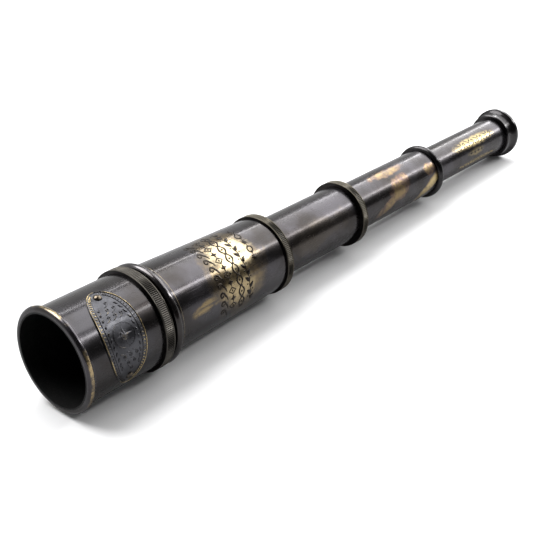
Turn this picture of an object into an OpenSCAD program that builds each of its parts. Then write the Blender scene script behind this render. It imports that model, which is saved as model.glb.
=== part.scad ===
// Three-draw brass telescope, shown fully drawn out.
// The optical axis is X. x = 0 is the front face of the objective rim, and +X runs to the eye end.
// Every turned piece is a profile of [radius, x] points spun about the optical axis.

/* [Sections] */
// Where the hood ends and the joint to the barrel begins
hood_end = 58; // [54:0.5:60]
// Where the tapered barrel ends and the first draw appears
barrel_end = 156; // [146:1:166]
// Where the first draw ends
draw_1_end = 236; // [232:1:240]
// Where the second draw ends
draw_2_end = 334; // [330:1:338]
// Where the third draw ends and the eyecup begins
draw_3_end = 437; // [434:1:438]
// Overall length, drawn out
total_length = 450; // [449:0.5:452]

/* [Radii] */
// Widest radius of the beads at the rim and the joint
bead_r = 30; // [29.5:0.5:32]
// Outside radius of the hood tube
hood_r = 28; // [27.5:0.1:28.4]
// Outside radius of the barrel at its front
barrel_front_r = 26.4; // [26.2:0.1:26.8]
// Outside radius of the barrel at its rear
barrel_rear_r = 23.9; // [23.6:0.1:24.4]
// Outside radius of the first draw
draw_1_r = 19.2; // [19:0.1:19.4]
// Outside radius of the second draw
draw_2_r = 16.7; // [16.5:0.1:16.8]
// Outside radius of the third draw
draw_3_r = 14; // [13.9:0.1:14.2]
// Radius of the eyecup's rim
eyecup_r = 19.2; // [18.5:0.1:20]
// Radius of the hole that the eye looks through
eye_hole_r = 4.5; // [3:0.5:6]

/* [Collars] */
// Width of each collar
collar_w = 5.5; // [5:0.1:5.6]
// Radius of the first collar
collar_1_r = 25.3; // [25:0.1:26.5]
// Radius of the second collar
collar_2_r = 22.3; // [21.5:0.1:23.5]
// Radius of the third collar
collar_3_r = 19.6; // [19:0.1:21]
// Smooth land on each side of a knurled band
collar_land = 1; // [0.8:0.1:1.4]
// Distance from one knurl rib to the next
knurl_pitch = 1.1; // [1:0.1:2]
// Depth of the knurl
knurl_depth = 0.35; // [0.2:0.05:0.5]

/* [Tubes] */
// Wall of the hood tube and the barrel
shell_wall = 1; // [0.8:0.1:1.1]
// Wall of the draw tubes
draw_wall = 0.85; // [0.75:0.05:0.95]
// Wall of the sprung guide sleeves
sleeve_wall = 0.8; // [0.7:0.05:0.85]
// Running clearance between a guide sleeve and its draw
running_gap = 0.05; // [0.03:0.01:0.09]
// Length of the first guide sleeve
sleeve_1_len = 18; // [16:0.5:20]
// Length of the second guide sleeve
sleeve_2_len = 14; // [12:0.5:15]
// Length of the third guide sleeve
sleeve_3_len = 12; // [11:0.5:13]
// Length of the stop ring at the front of each draw
stop_len = 2.4; // [2:0.1:3]

/* [Badge plate] */
// Width of the oval plate along the axis
plate_w = 26; // [22:1:32]
// Half of the angle that the plate covers round the hood
plate_half_angle = 58; // [50:1:68]
// Thickness of the plate
plate_t = 0.5; // [0.4:0.1:0.8]
// Direction that the plate's centre faces, above the horizontal
plate_tilt = 28; // [0:1:40]

/* [Optics] */
// Radius of the objective lenses
objective_r = 21.8; // [21:0.1:21.8]
// Radius of the erecting lenses
erector_r = 11.6; // [10.5:0.1:12]
// Radius of the hole in the erecting stop
erector_stop_r = 2.5; // [1.5:0.5:4]

/* [Hidden] */
$fn = 96;
LENS_FN = 720;

// Hood: bead at the mouth, tube behind it, knurled ring at the rear
rim_bead_r = 2;
rim_depth = 5;
rim_spigot = 4;
hood_in_r = hood_r - shell_wall;
rim_in_r = hood_in_r - 0.8;
rim_step_r = hood_r + 0.4;
hood_ring_w = 6.5;
hood_ring_x = hood_end - hood_ring_w;

// Joint: a bush inside hood and barrel, with a polished bead between them
bush_front = hood_end - 17.5;
bush_rear = hood_end + 13.5;
bush_in_r = 24;
bush_seat_r = hood_in_r - 0.05;
joint_gap = 2;
joint_bead_w = 5;
joint_x = hood_end + joint_gap;
barrel_x = joint_x + joint_bead_w;
flange_w = 2.5;
flange_r = barrel_front_r + 1.2;

// Barrel: cylindrical seats at both ends, a cone between them
barrel_seat_r = barrel_front_r - 1.2;
barrel_rear_seat_r = barrel_rear_r - 1.3;
barrel_rear_seat_x = barrel_end - 14;
collar_spigot = 6;

// Objective cell, screwed into the bush
cell_front = bush_front + 1;
cell_rear = cell_front + 13;
cell_lip = 2;
cell_lip_r = objective_r - 1.3;
lens_seat_x = cell_rear - cell_lip;
flint_edge = 3.2;
flint_sag = 2.2;
flint_front_x = lens_seat_x - flint_edge;
spacer_t = 0.5;
spacer_r = objective_r - 0.9;
crown_edge = 2.6;
crown_front_sag = 2.4;
crown_rear_sag = 2.1;
crown_rear_x = flint_front_x - spacer_t - bulge(objective_r, crown_rear_sag, spacer_r);
crown_front_x = crown_rear_x - crown_edge;
objective_ring_t = 1.8;
objective_ring_r = objective_r - 1.8;
objective_ring_rear = crown_front_x - bulge(objective_r, crown_front_sag, objective_ring_r);

// Draws: inner radii, and where each one's front end stands
draw_1_in_r = draw_1_r - draw_wall;
draw_2_in_r = draw_2_r - draw_wall;
draw_3_in_r = draw_3_r - draw_wall;
stop_rest_gap = 0.1;
collar_1_rear = barrel_end + collar_w;
collar_2_rear = draw_1_end + collar_w;
collar_3_rear = draw_2_end + collar_w;
draw_1_front = collar_1_rear - sleeve_1_len - stop_rest_gap - stop_len;
draw_2_front = collar_2_rear - sleeve_2_len - stop_rest_gap - stop_len;
draw_3_front = collar_3_rear - sleeve_3_len - stop_rest_gap - stop_len;
stop_side_gap = 0.25;

// Erecting lenses, near the front of the third draw
erector_x = draw_3_front + 3;
erector_len = 44;
erector_rear = erector_x + erector_len;
erector_lip = 1.2;
erector_lip_r = erector_r - 1.4;
erector_edge = 1.6;
erector_outer_sag = 1.2;
erector_inner_sag = 1;
erector_ring_t = 1.6;
erector_inset = erector_ring_t + bulge(erector_r, erector_outer_sag, erector_lip_r);
erector_seat = erector_inset + erector_edge + bulge(erector_r, erector_inner_sag, erector_lip_r);
erector_stop_t = 1;

// Eyepiece, at the rear of the third draw
eyepiece_x = draw_3_end - 30;
eyepiece_rear = draw_3_end + 3;
eyepiece_r = 11.6;
eyepiece_lip = 1.2;
eyepiece_lip_r = 9.6;
eyepiece_edge = 1.5;
eyepiece_outer_sag = 0.3;
eyepiece_inner_sag = 1.8;
eyepiece_ring_t = 1.5;
eyepiece_ring_r = 10;
eyepiece_inset = eyepiece_ring_t + bulge(eyepiece_r, eyepiece_outer_sag, eyepiece_ring_r);
eyepiece_seat = eyepiece_inset + eyepiece_edge + bulge(eyepiece_r, eyepiece_inner_sag, eyepiece_lip_r);

// Eyecup: a base ring, then a bell with a rounded rim and a shallow bowl
base_w = 3.5;
base_r = 16.9;
cup_x = draw_3_end + base_w;
cup_neck_r = 16.2;
cup_floor_x = cup_x + 3.2;

// Turns a profile of [radius, x] about the optical axis
module spin_x() {
    rotate([0, 90, 0]) rotate_extrude() children();
}

// Puts a shape that was drawn along Z on the optical axis
module along_x(x) {
    translate([x, 0, 0]) rotate([0, 90, 0]) children();
}

// Plain tube from x0 to x1
module pipe(x0, x1, r_in, r_out) {
    along_x(x0) difference() {
        cylinder(h = x1 - x0, r = r_out);
        translate([0, 0, -1]) cylinder(h = x1 - x0 + 2, r = r_in);
    }
}

// Ring with small bevels on its two outer edges
module bevelled_ring(x0, x1, r_in, r_out, bevel) {
    spin_x() polygon([
        [r_in, x0], [r_out - bevel, x0], [r_out, x0 + bevel],
        [r_out, x1 - bevel], [r_out - bevel, x1], [r_in, x1]
    ]);
}

// Smooth ring whose outside is one half circle
module round_ring(x0, x1, r_in, r_out) {
    round_r = (x1 - x0) / 2;
    spin_x() difference() {
        union() {
            translate([r_out - round_r, x0 + round_r]) circle(r = round_r);
            translate([r_in, x0]) square([r_out - round_r - r_in, x1 - x0]);
        }
        translate([0, x0]) square([r_in, x1 - x0]);
    }
}

// Band of fine ribs that run along the axis
module knurled_band(x0, x1, r_in, r_out) {
    ribs = round(2 * PI * r_out / knurl_pitch);
    along_x(x0) linear_extrude(height = x1 - x0) difference() {
        polygon([
            for (i = [0 : 2 * ribs - 1])
                let (r = i % 2 == 0 ? r_out : r_out - knurl_depth, a = i * 180 / ribs)
                    [r * cos(a), r * sin(a)]
        ]);
        circle(r = r_in);
    }
}

// Collar with a knurled band between two smooth lands
module knurled_ring(x0, x1, r_in, r_out) {
    core_r = r_out - knurl_depth - 0.1;
    bevelled_ring(x0, x0 + collar_land, r_in, r_out, 0.3);
    pipe(x0 + collar_land, x1 - collar_land, r_in, core_r);
    knurled_band(x0 + collar_land, x1 - collar_land, core_r - 0.2, r_out);
    bevelled_ring(x1 - collar_land, x1, r_in, r_out, 0.3);
}

// Radius of a spherical face that bulges by sag at a lens of radius r
function face_curve(r, sag) = (r * r + sag * sag) / (2 * sag);

// How far that face stands past the lens's edge, at a distance d from the axis
function bulge(r, sag, d) =
    let (curve = face_curve(r, sag)) sqrt(curve * curve - d * d) - (curve - sag);

// Lens with a spherical front and rear; a sag is how far its face bulges past the edge
module lens(x0, edge, r, front_sag, rear_sag) {
    front_curve = face_curve(r, front_sag);
    rear_curve = face_curve(r, rear_sag);
    spin_x() intersection() {
        translate([0, x0 - front_sag]) square([r, edge + front_sag + rear_sag]);
        translate([0, x0 - front_sag + front_curve]) circle(r = front_curve, $fn = LENS_FN);
        translate([0, x0 + edge + rear_sag - rear_curve]) circle(r = rear_curve, $fn = LENS_FN);
    }
}

// Sprung sleeve with slots that start at its front end
module guide_sleeve(x1, len, r_in) {
    slot_w = 0.8;
    slot_len = len * 0.6;
    difference() {
        pipe(x1 - len, x1, r_in, r_in + sleeve_wall);
        for (a = [0 : 90 : 270])
            rotate([a, 0, 0])
                translate([x1 - len - 1, -slot_w / 2, r_in - 1])
                    cube([slot_len + 1, slot_w, sleeve_wall + 2]);
    }
}

// Outline of the oval plate as seen square on, half_w along the axis and half_a round the hood
function oval(half_w, half_a, r) = [
    for (i = [0 : 59])
        [half_w * cos(i * 6), r * sin(half_a * sin(i * 6))]
];

plate_x = rim_depth + (hood_ring_x - rim_depth) / 2 - 0.75;
rivet_angle = plate_half_angle - 9;

// Places what was drawn along -Y so that it faces the plate's direction, turned a further angle
module facing(angle) {
    rotate([-(plate_tilt + angle), 0, 0]) children();
}

module front_rim() {
    color("darkgoldenrod") spin_x() difference() {
        union() {
            translate([bead_r - rim_bead_r, rim_bead_r]) circle(r = rim_bead_r);
            translate([rim_in_r, 0]) square([bead_r - rim_bead_r - rim_in_r, rim_depth]);
            translate([rim_in_r, rim_depth]) square([hood_in_r - rim_in_r, rim_spigot]);
            translate([hood_in_r, rim_bead_r]) square([rim_step_r - hood_in_r, rim_depth - rim_bead_r]);
        }
        square([rim_in_r, rim_depth]);
    }
}

rivet_shank_r = 0.8;
rivet_head_r = 2.4;
rivet_head_h = 1.3;

module rivet_shank() {
    translate([plate_x, 0, 0]) rotate([90, 0, 0])
        translate([0, 0, hood_in_r - 0.6])
            cylinder(h = shell_wall + plate_t + 1.2, r = rivet_shank_r);
}

module hood_tube() {
    color("dimgray") difference() {
        pipe(rim_depth, hood_end, hood_in_r, hood_r);
        for (side = [-1, 1]) facing(side * rivet_angle) rivet_shank();
    }
}

module badge_plate() {
    color("slategray") difference() {
        intersection() {
            pipe(rim_depth, hood_end, hood_r, hood_r + plate_t);
            facing(0) translate([plate_x, 0, 0]) rotate([90, 0, 0])
                linear_extrude(height = hood_r + 5)
                    polygon(oval(plate_w / 2, plate_half_angle, hood_r + plate_t));
        }
        for (side = [-1, 1]) facing(side * rivet_angle) rivet_shank();
    }
}

module badge_rivets() {
    dome_r = (rivet_head_r * rivet_head_r + rivet_head_h * rivet_head_h) / (2 * rivet_head_h);
    head_seat = hood_r + plate_t;
    color("goldenrod") for (side = [-1, 1]) facing(side * rivet_angle) {
        rivet_shank();
        translate([plate_x, 0, 0]) rotate([90, 0, 0]) intersection() {
            translate([0, 0, head_seat]) cylinder(h = rivet_head_h, r = rivet_head_r);
            translate([0, 0, head_seat + rivet_head_h - dome_r]) sphere(r = dome_r);
        }
    }
}

module hood_ring() {
    color("dimgray") knurled_ring(hood_ring_x, hood_end, hood_r, bead_r);
}

module front_bush() {
    color("darkgoldenrod") spin_x() polygon([
        [bush_in_r, bush_front], [bush_seat_r - 0.6, bush_front], [bush_seat_r, bush_front + 0.6],
        [bush_seat_r, barrel_x], [barrel_seat_r, barrel_x], [barrel_seat_r, bush_rear],
        [bush_in_r, bush_rear]
    ]);
}

module joint_bead() {
    color("gray") round_ring(joint_x, barrel_x, bush_seat_r, bead_r);
}

module barrel_flange() {
    color("gray") bevelled_ring(barrel_x, barrel_x + flange_w, barrel_front_r, flange_r, 0.5);
}

module main_barrel() {
    cone_x = barrel_x + flange_w;
    seat_end = bush_rear;
    color("dimgray") spin_x() polygon([
        [barrel_seat_r, barrel_x], [barrel_front_r, barrel_x], [barrel_front_r, cone_x],
        [barrel_rear_r, barrel_end], [barrel_rear_seat_r, barrel_end],
        [barrel_rear_seat_r, barrel_rear_seat_x], [barrel_rear_seat_r + 0.6, barrel_rear_seat_x],
        [barrel_seat_r, seat_end]
    ]);
}

module objective_cell() {
    color("black") spin_x() polygon([
        [objective_r, cell_front], [bush_in_r, cell_front], [bush_in_r, cell_rear],
        [cell_lip_r, cell_rear], [cell_lip_r, lens_seat_x], [objective_r, lens_seat_x]
    ]);
}

// Its front is hollow and nests behind the crown lens, and its rear is flat
module flint_lens() {
    curve = face_curve(objective_r, flint_sag);
    color("lightcyan") spin_x() difference() {
        translate([0, flint_front_x]) square([objective_r, flint_edge]);
        translate([0, flint_front_x + flint_sag - curve]) circle(r = curve, $fn = LENS_FN);
    }
}

module doublet_spacer() {
    color("black") pipe(flint_front_x - spacer_t, flint_front_x, spacer_r, objective_r);
}

module crown_lens() {
    color("lightcyan") lens(crown_front_x, crown_edge, objective_r, crown_front_sag, crown_rear_sag);
}

// Screwed ring in front of the lenses, with two slots for a spanner
module objective_ring() {
    slot_w = 1.6;
    slot_depth = 0.8;
    front = objective_ring_rear - objective_ring_t;
    color("black") difference() {
        pipe(front, objective_ring_rear, objective_ring_r, objective_r);
        for (a = [0, 180])
            rotate([a, 0, 0])
                translate([front - 1, -slot_w / 2, objective_ring_r - 1])
                    cube([slot_depth + 1, slot_w, 4]);
    }
}

// Cap on the end of a tube: a spigot that goes inside it and a knurled or plain flange outside
module collar(x, spigot_r, sleeve_r, r_out, knurled) {
    pipe(x - collar_spigot, x, sleeve_r, spigot_r);
    if (knurled) knurled_ring(x, x + collar_w, sleeve_r, r_out);
    else round_ring(x, x + collar_w, sleeve_r, r_out);
}

module collar_1() {
    color("darkkhaki")
        collar(barrel_end, barrel_rear_seat_r, draw_1_r + running_gap + sleeve_wall, collar_1_r, true);
}

module guide_sleeve_1() {
    color("peru") guide_sleeve(collar_1_rear, sleeve_1_len, draw_1_r + running_gap);
}

module draw_tube_1() {
    color("dimgray") pipe(draw_1_front, draw_1_end, draw_1_in_r, draw_1_r);
}

module stop_ring_1() {
    r_out = barrel_rear_seat_r - 0.6;
    color("peru") pipe(draw_1_front, draw_1_front + stop_len, draw_1_r, r_out);
}

module collar_2() {
    color("darkkhaki")
        collar(draw_1_end, draw_1_in_r, draw_2_r + running_gap + sleeve_wall, collar_2_r, true);
}

module guide_sleeve_2() {
    color("peru") guide_sleeve(collar_2_rear, sleeve_2_len, draw_2_r + running_gap);
}

module draw_tube_2() {
    color("dimgray") pipe(draw_2_front, draw_2_end, draw_2_in_r, draw_2_r);
}

module stop_ring_2() {
    color("peru") pipe(draw_2_front, draw_2_front + stop_len, draw_2_r, draw_1_in_r - stop_side_gap);
}

module collar_3() {
    color("black")
        collar(draw_2_end, draw_2_in_r, draw_3_r + running_gap + sleeve_wall, collar_3_r, false);
}

module guide_sleeve_3() {
    color("peru") guide_sleeve(collar_3_rear, sleeve_3_len, draw_3_r + running_gap);
}

module draw_tube_3() {
    color("dimgray") pipe(draw_3_front, draw_3_end, draw_3_in_r, draw_3_r);
}

module stop_ring_3() {
    color("peru") pipe(draw_3_front, draw_3_front + stop_len, draw_3_r, draw_2_in_r - stop_side_gap);
}

// Tube from x0 to x1 with a lens at each end; a lip behind each one stands seat_in from its end
module lens_tube(x0, x1, r_out, bore, lip_r, lip, seat_in) {
    spin_x() polygon([
        [bore, x0], [r_out, x0], [r_out, x1], [bore, x1],
        [bore, x1 - seat_in], [lip_r, x1 - seat_in],
        [lip_r, x1 - seat_in - lip], [bore, x1 - seat_in - lip],
        [bore, x0 + seat_in + lip], [lip_r, x0 + seat_in + lip],
        [lip_r, x0 + seat_in], [bore, x0 + seat_in]
    ]);
}

module erector_tube() {
    color("black")
        lens_tube(erector_x, erector_rear, draw_3_in_r, erector_r, erector_lip_r, erector_lip, erector_seat);
}

module erector_front_ring() {
    color("black") pipe(erector_x, erector_x + erector_ring_t, erector_lip_r, erector_r);
}

module erector_front_lens() {
    color("lightcyan")
        lens(erector_x + erector_inset, erector_edge, erector_r, erector_outer_sag, erector_inner_sag);
}

module erector_stop() {
    mid = erector_x + erector_len / 2;
    color("black") pipe(mid - erector_stop_t / 2, mid + erector_stop_t / 2, erector_stop_r, erector_r);
}

module erector_rear_lens() {
    x0 = erector_rear - erector_inset - erector_edge;
    color("lightcyan") lens(x0, erector_edge, erector_r, erector_inner_sag, erector_outer_sag);
}

module erector_rear_ring() {
    color("black") pipe(erector_rear - erector_ring_t, erector_rear, erector_lip_r, erector_r);
}

module eyepiece_tube() {
    color("black")
        lens_tube(eyepiece_x, eyepiece_rear, draw_3_in_r, eyepiece_r, eyepiece_lip_r, eyepiece_lip,
                  eyepiece_seat);
}

module field_lens_ring() {
    color("black") pipe(eyepiece_x, eyepiece_x + eyepiece_ring_t, eyepiece_ring_r, eyepiece_r);
}

module field_lens() {
    color("lightcyan")
        lens(eyepiece_x + eyepiece_inset, eyepiece_edge, eyepiece_r, eyepiece_outer_sag, eyepiece_inner_sag);
}

module eye_lens() {
    x0 = eyepiece_rear - eyepiece_inset - eyepiece_edge;
    color("lightcyan") lens(x0, eyepiece_edge, eyepiece_r, eyepiece_inner_sag, eyepiece_outer_sag);
}

module eye_lens_ring() {
    color("black") pipe(eyepiece_rear - eyepiece_ring_t, eyepiece_rear, eyepiece_ring_r, eyepiece_r);
}

module eyecup_base() {
    x0 = draw_3_end;
    color("black") bevelled_ring(x0, x0 + base_w, draw_3_in_r, base_r, 0.6);
}

// Bell that flares from the base ring to a rounded rim, with a shallow bowl and the eye hole
module eyecup() {
    x1 = total_length;
    flare_r = 6;
    rim_round = 1.3;
    bowl_r = eyecup_r - 2.4;
    color("black") spin_x() difference() {
        union() {
            translate([eye_hole_r, cup_x]) square([cup_neck_r - eye_hole_r, x1 - cup_x - rim_round]);
            translate([cup_neck_r - 1, cup_x + 1.5])
                square([eyecup_r - cup_neck_r + 1, x1 - cup_x - 1.5 - rim_round]);
            translate([eyecup_r - rim_round, x1 - rim_round]) circle(r = rim_round);
            translate([eye_hole_r, cup_x])
                square([eyecup_r - rim_round - eye_hole_r, x1 - cup_x]);
        }
        translate([cup_neck_r + flare_r, cup_x + 1]) circle(r = flare_r);
        polygon([
            [0, cup_floor_x], [eye_hole_r + 2, cup_floor_x], [bowl_r - 4, cup_floor_x + 1.6],
            [bowl_r, x1 - 0.8], [bowl_r + 0.8, x1 + 1], [0, x1 + 1]
        ]);
    }
}

front_rim();
hood_tube();
badge_plate();
badge_rivets();
hood_ring();
front_bush();
joint_bead();
barrel_flange();
main_barrel();
objective_cell();
crown_lens();
doublet_spacer();
flint_lens();
objective_ring();
collar_1();
guide_sleeve_1();
draw_tube_1();
stop_ring_1();
collar_2();
guide_sleeve_2();
draw_tube_2();
stop_ring_2();
collar_3();
guide_sleeve_3();
draw_tube_3();
stop_ring_3();
erector_tube();
erector_front_lens();
erector_front_ring();
erector_stop();
erector_rear_lens();
erector_rear_ring();
eyepiece_tube();
field_lens();
field_lens_ring();
eye_lens();
eye_lens_ring();
eyecup_base();
eyecup();
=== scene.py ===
"""Looks of a three-draw brass telescope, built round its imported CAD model.

The optical axis is X, from the objective rim to the eyecup. Sizes are in millimetres until a mesh is
made. An angle round the axis is in degrees: 0 faces -Y and 90 faces up.
"""
import math

import bpy
from mathutils import Matrix, Vector


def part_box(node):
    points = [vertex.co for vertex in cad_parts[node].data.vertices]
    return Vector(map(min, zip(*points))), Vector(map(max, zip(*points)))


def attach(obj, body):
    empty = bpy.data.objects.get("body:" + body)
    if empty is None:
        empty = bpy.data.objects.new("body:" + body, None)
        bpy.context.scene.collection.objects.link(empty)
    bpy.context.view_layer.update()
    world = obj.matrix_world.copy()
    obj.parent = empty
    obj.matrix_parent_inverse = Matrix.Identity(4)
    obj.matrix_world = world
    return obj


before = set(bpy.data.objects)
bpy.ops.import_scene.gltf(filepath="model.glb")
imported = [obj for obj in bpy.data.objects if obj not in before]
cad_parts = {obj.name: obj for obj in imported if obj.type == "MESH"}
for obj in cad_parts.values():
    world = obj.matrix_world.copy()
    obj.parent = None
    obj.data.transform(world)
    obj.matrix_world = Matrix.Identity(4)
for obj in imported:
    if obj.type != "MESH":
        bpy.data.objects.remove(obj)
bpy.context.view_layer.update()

MM = 0.001


# ---- Places, read from the frame ----

class Ring:
    """The length and outer radius of a turned node."""

    def __init__(self, node):
        low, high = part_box(node)
        self.start = low.x / MM
        self.end = high.x / MM
        self.middle = (self.start + self.end) / 2
        self.radius = high.z / MM


rim = Ring("front_rim")
hood = Ring("hood_tube")
hood_ring = Ring("hood_ring")
bead = Ring("joint_bead")
flange = Ring("barrel_flange")
barrel = Ring("main_barrel")
collar_1 = Ring("collar_1")
draw_1 = Ring("draw_tube_1")
collar_2 = Ring("collar_2")
draw_2 = Ring("draw_tube_2")
collar_3 = Ring("collar_3")
draw_3 = Ring("draw_tube_3")
cup_base = Ring("eyecup_base")
cup = Ring("eyecup")

# The badge's face stands this much proud of the hood
BADGE_THICK = 0.5
badge_r = hood.radius + BADGE_THICK

# What shows of a collar behind the tube that it closes, and the barrel's radius at its narrow end
COLLAR_W = 5.5
BARREL_REAR_R = 23.9

barrel_end = collar_1.end - COLLAR_W
draw_1_end = collar_2.end - COLLAR_W
draw_2_end = collar_3.end - COLLAR_W


def barrel_radius(x):
    """Outside radius of the tapered barrel."""
    share = (x - flange.end) / (barrel_end - flange.end)
    return barrel.radius + (BARREL_REAR_R - barrel.radius) * share


def node_angles(node):
    """Lowest and highest angle of a node that lies on one side of the telescope."""
    angles = [math.degrees(math.atan2(v.co.z, -v.co.y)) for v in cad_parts[node].data.vertices]
    return min(angles), max(angles)


# ---- Material graphs ----

# Sockets of a Mix node, which has a set for each kind of value
MIX_FACTOR = 0
FLOAT_A, FLOAT_B, FLOAT_OUT = 2, 3, 0
COLOUR_A, COLOUR_B, COLOUR_OUT = 6, 7, 2


class Graph:
    """A material's node tree, built in small steps. A value is a socket or a plain number.

    Its place, x, y, z and radius are in millimetres, and its angle is in degrees round the axis.
    """

    def __init__(self, name):
        self.material = bpy.data.materials.new(name)
        self.material.use_nodes = True
        self.tree = self.material.node_tree
        self.tree.nodes.clear()
        self.shader = self.add("ShaderNodeBsdfPrincipled")
        self.output = self.add("ShaderNodeOutputMaterial")
        self.link(self.shader.outputs["BSDF"], self.output.inputs["Surface"])
        self.place = self.scaled(self.add("ShaderNodeTexCoord").outputs["Object"], (1 / MM,) * 3)
        parts = self.add("ShaderNodeSeparateXYZ")
        self.link(self.place, parts.inputs[0])
        self.x, self.y, self.z = parts.outputs
        turn = self.math("ARCTAN2", self.z, self.math("MULTIPLY", self.y, -1.0))
        self.angle = self.math("DEGREES", turn)
        squares = self.add_up(self.math("POWER", self.y, 2.0), self.math("POWER", self.z, 2.0))
        self.radius = self.math("SQRT", squares)

    def add(self, kind):
        return self.tree.nodes.new(kind)

    def link(self, source, target):
        self.tree.links.new(source, target)

    def feed(self, socket, value):
        if isinstance(value, bpy.types.NodeSocket):
            self.link(value, socket)
        elif isinstance(value, tuple) and len(value) == 3 and socket.type == "RGBA":
            socket.default_value = (*value, 1.0)
        else:
            socket.default_value = value

    def math(self, operation, a, b=0.0):
        node = self.add("ShaderNodeMath")
        node.operation = operation
        self.feed(node.inputs[0], a)
        self.feed(node.inputs[1], b)
        return node.outputs[0]

    def add_up(self, a, b):
        return self.math("ADD", a, b)

    def times(self, a, b):
        return self.math("MULTIPLY", a, b)

    def most(self, a, b):
        return self.math("MAXIMUM", a, b)

    def scaled(self, vector, factors):
        node = self.add("ShaderNodeVectorMath")
        node.operation = "MULTIPLY"
        self.feed(node.inputs[0], vector)
        node.inputs[1].default_value = factors
        return node.outputs[0]

    def ramp(self, value, low, high, out_low=0.0, out_high=1.0):
        """Smooth step from out_low at low to out_high at high."""
        node = self.add("ShaderNodeMapRange")
        node.interpolation_type = "SMOOTHSTEP"
        self.feed(node.inputs["Value"], value)
        node.inputs["From Min"].default_value = min(low, high)
        node.inputs["From Max"].default_value = max(low, high)
        node.inputs["To Min"].default_value = out_low if low < high else out_high
        node.inputs["To Max"].default_value = out_high if low < high else out_low
        return node.outputs["Result"]

    def noise(self, size, detail=3.0, roughness=0.5, stretch=(1, 1, 1), seed=0.0):
        """Noise whose blotches are about size mm across, made longer along an axis by stretch."""
        node = self.add("ShaderNodeTexNoise")
        node.noise_dimensions = "4D"
        self.link(self.scaled(self.place, tuple(1 / s for s in stretch)), node.inputs["Vector"])
        node.inputs["W"].default_value = seed
        node.inputs["Scale"].default_value = 1 / size
        node.inputs["Detail"].default_value = detail
        node.inputs["Roughness"].default_value = roughness
        return node.outputs[0]

    def blend(self, factor, a, b):
        """Colour a where factor is 0 and b where it is 1."""
        node = self.add("ShaderNodeMix")
        node.data_type = "RGBA"
        self.feed(node.inputs[MIX_FACTOR], factor)
        self.feed(node.inputs[COLOUR_A], a)
        self.feed(node.inputs[COLOUR_B], b)
        return node.outputs[COLOUR_OUT]

    def near(self, value, centre, half, soft):
        """1 within half of centre, and 0 from soft beyond that."""
        distance = self.math("ABSOLUTE", self.math("SUBTRACT", value, centre))
        return self.ramp(distance, half + soft, half)

    def spot(self, x, angle, half_x, half_angle, lean=0.0, ragged=0.5, blotch=9.0, seed=0.0):
        """Soft patch with ragged edges; lean moves it along the axis for each degree above its centre."""
        turn = self.math("SUBTRACT", self.angle, angle)
        along = self.math("SUBTRACT", self.math("SUBTRACT", self.x, x), self.times(turn, lean))
        a = self.math("POWER", self.times(along, 1 / half_x), 2.0)
        b = self.math("POWER", self.times(turn, 1 / half_angle), 2.0)
        distance = self.math("SQRT", self.add_up(a, b))
        uneven = self.math("SUBTRACT", self.noise(blotch, 5.0, 0.62, seed=seed), 0.5)
        edge = self.times(uneven, 2.6 * ragged)
        return self.ramp(self.add_up(distance, edge), 1.25, 0.6)

    def bump(self, height, depth):
        """Relief whose height 1 stands depth mm above its height 0."""
        node = self.add("ShaderNodeBump")
        node.inputs["Strength"].default_value = 1.0
        node.inputs["Distance"].default_value = depth * MM
        self.link(height, node.inputs["Height"])
        self.link(node.outputs[0], self.shader.inputs["Normal"])

    def finish(self, colour, roughness, metallic=1.0, coat=0.0, coat_roughness=0.1):
        """Sets the surface, and gives the finished material."""
        self.feed(self.shader.inputs["Base Color"], colour)
        self.feed(self.shader.inputs["Roughness"], roughness)
        self.shader.inputs["Metallic"].default_value = metallic
        self.shader.inputs["Coat Weight"].default_value = coat
        self.shader.inputs["Coat Roughness"].default_value = coat_roughness
        return self.material


# Tints that more than one material uses, from bright to dark
BRASS = (0.66, 0.50, 0.26)
OLD_BRASS = (0.24, 0.18, 0.095)
BROWN = (0.040, 0.035, 0.033)
VIOLET = (0.080, 0.075, 0.082)
SMOKE = (0.060, 0.058, 0.060)
SOOT = (0.020, 0.019, 0.019)


def bronzed(graph, seed, dark, light):
    """Colour of the oxidised skin: slow clouds between two dark tints, with small darker stains."""
    clouds = graph.ramp(graph.noise(26, 4.0, 0.55, seed=seed), 0.36, 0.64)
    colour = graph.blend(clouds, dark, light)
    haze = graph.ramp(graph.noise(5, 6.0, 0.65, stretch=(2.2, 1, 1), seed=seed + 3), 0.42, 0.72)
    colour = graph.blend(graph.times(haze, 0.45), colour, SMOKE)
    stains = graph.ramp(graph.noise(1.6, 4.0, 0.6, seed=seed + 8), 0.62, 0.74)
    return graph.blend(graph.times(stains, 0.6), colour, BROWN)


def drawn_lines(graph, seed):
    """Fine marks that run along a drawn tube."""
    return graph.noise(0.35, 2.0, 0.5, stretch=(60, 1, 1), seed=seed)


def turned_lines(graph, seed):
    """Fine marks that run round a turned ring."""
    return graph.noise(0.30, 2.0, 0.5, stretch=(1, 90, 90), seed=seed)


def scratches(graph, seed):
    """Sparse handling scratches, in two slanting directions."""
    first = graph.ramp(graph.noise(0.5, 1.0, 0.4, stretch=(26, 1, 9), seed=seed + 11), 0.70, 0.76)
    second = graph.ramp(graph.noise(0.6, 1.0, 0.4, stretch=(3, 20, 14), seed=seed + 17), 0.71, 0.77)
    return graph.most(first, second)


def polish(graph, lines, base, seed):
    """Roughness of a polished tube: lines, smears of handling and scratches."""
    clouds = graph.noise(9, 4.0, 0.6, stretch=(2.5, 1, 1), seed=seed + 5)
    smears = graph.ramp(clouds, 0.35, 0.75, 0.0, 0.10)
    rough = graph.add_up(graph.add_up(graph.times(lines, 0.07), smears), base - 0.03)
    return graph.add_up(rough, graph.times(scratches(graph, seed), 0.16))


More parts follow.
